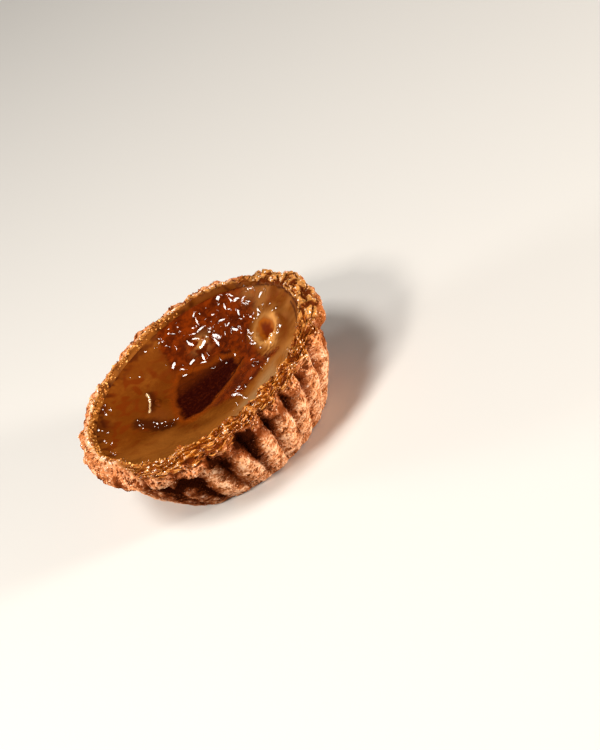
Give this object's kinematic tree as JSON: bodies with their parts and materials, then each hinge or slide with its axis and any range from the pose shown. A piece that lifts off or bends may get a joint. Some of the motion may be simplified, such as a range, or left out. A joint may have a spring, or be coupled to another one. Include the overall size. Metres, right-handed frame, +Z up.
{
  "type": "creme brulee tart",
  "caption": "Round fluted short-crust tart with a thick craggy rim, filled with sunken baked custard under patches of burnt, blistered sugar.",
  "frame": {"origin": "middle of the flat base, on the surface the tart rests on", "axes": "+Z up, through the middle of the tart; -Y is the side that faces the viewer in the picture, where the fluted wall shows; +X is to the viewer's right, towards the crater in the custard"},
  "size_m": [0.0763, 0.0764, 0.0268],
  "materials": {
    "crust": "baked short-crust pastry, rough and crumbly, golden glaze on its lip",
    "custard": "satin baked custard with glossy amber to dark burnt sugar"
  },
  "bodies": {
    "root": {"crust": "crust", "custard": "custard"}
  },
  "joints": []
}
